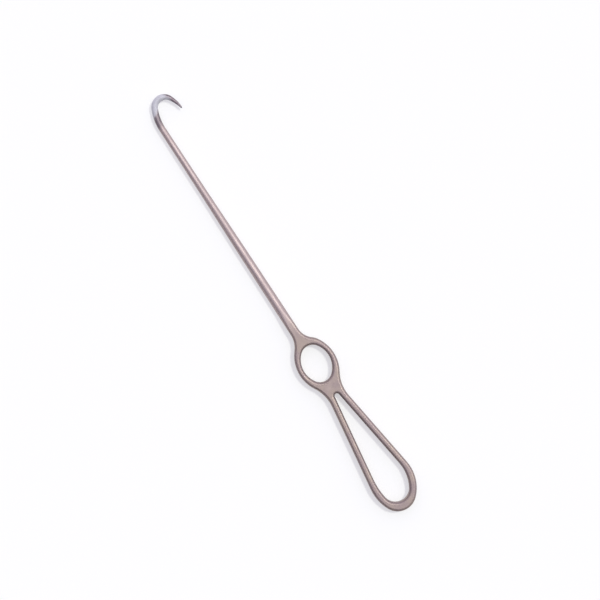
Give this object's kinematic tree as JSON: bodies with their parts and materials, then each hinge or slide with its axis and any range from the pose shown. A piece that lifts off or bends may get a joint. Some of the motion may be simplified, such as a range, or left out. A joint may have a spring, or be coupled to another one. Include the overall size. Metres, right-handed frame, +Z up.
{
  "type": "surgical bone hook",
  "caption": "One-piece steel bone hook lying flat: a sharp U-shaped hook on a round tapering shaft, with an oval finger ring and a long drop-shaped loop handle",
  "frame": {"origin": "under the middle of the web between the finger ring's hole and the loop's hole, on the surface the instrument lies on", "axes": "+Y along the shaft towards the hook, +X to the side the hook points to, +Z up from the surface; X = 0 is the shaft's axis"},
  "size_m": [0.0245, 0.2303, 0.0056],
  "materials": {
    "steel": "satin"
  },
  "bodies": {
    "root": {"bone_hook": "steel"}
  },
  "joints": []
}
